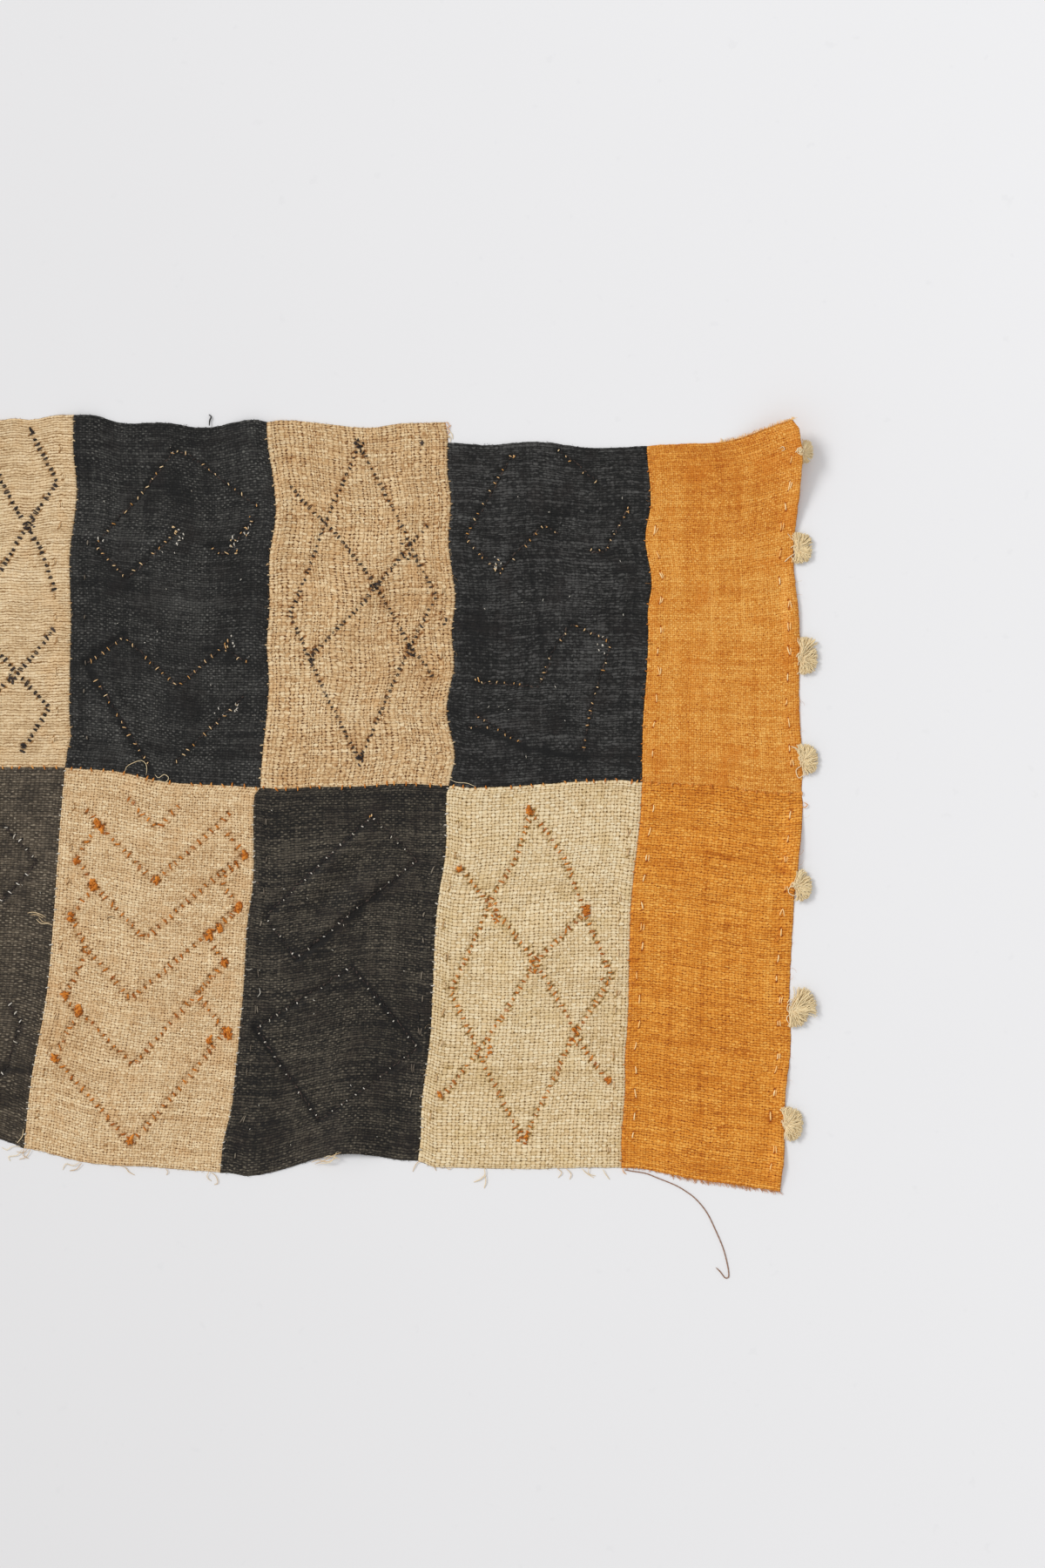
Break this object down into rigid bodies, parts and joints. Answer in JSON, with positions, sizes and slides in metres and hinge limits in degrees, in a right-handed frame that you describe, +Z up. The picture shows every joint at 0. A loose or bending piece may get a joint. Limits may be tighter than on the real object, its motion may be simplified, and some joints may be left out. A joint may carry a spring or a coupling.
{
  "type": "kuba raffia cloth",
  "caption": "Hand-woven raffia patchwork cloth lying flat, dark and natural panels with stitched diamonds and chevrons, an orange border and pompoms along one edge.",
  "frame": {"origin": "middle of the cloth's footprint, pompoms included, on the floor that it lies on", "axes": "+X along the rows of panels towards the orange border, +Y up the cloth, +Z up off the floor"},
  "size_m": [0.912, 0.7929, 0.0287],
  "materials": {
    "natural_raffia": "undyed plain-woven raffia, matte",
    "pale_raffia": "pale undyed plain-woven raffia, matte",
    "black_raffia": "black-dyed plain-woven raffia, slightly worn",
    "orange_raffia": "orange-dyed plain-woven raffia, matte",
    "cream_raffia": "combed cream raffia fibres",
    "brown_thread": "twisted brown sewing fibre"
  },
  "bodies": {
    "root": {"upper_1_natural": "natural_raffia", "upper_2_black": "black_raffia", "upper_3_natural": "natural_raffia", "upper_4_black": "black_raffia", "upper_5_orange": "orange_raffia", "lower_1_black": "black_raffia", "lower_2_natural": "natural_raffia", "lower_3_black": "black_raffia", "lower_4_pale": "pale_raffia", "lower_5_orange": "orange_raffia", "pompom_1": "cream_raffia", "pompom_2": "cream_raffia", "pompom_3": "cream_raffia", "pompom_4": "cream_raffia", "pompom_5": "cream_raffia", "pompom_6": "cream_raffia", "pompom_7": "cream_raffia", "loose_thread": "brown_thread"}
  },
  "joints": []
}
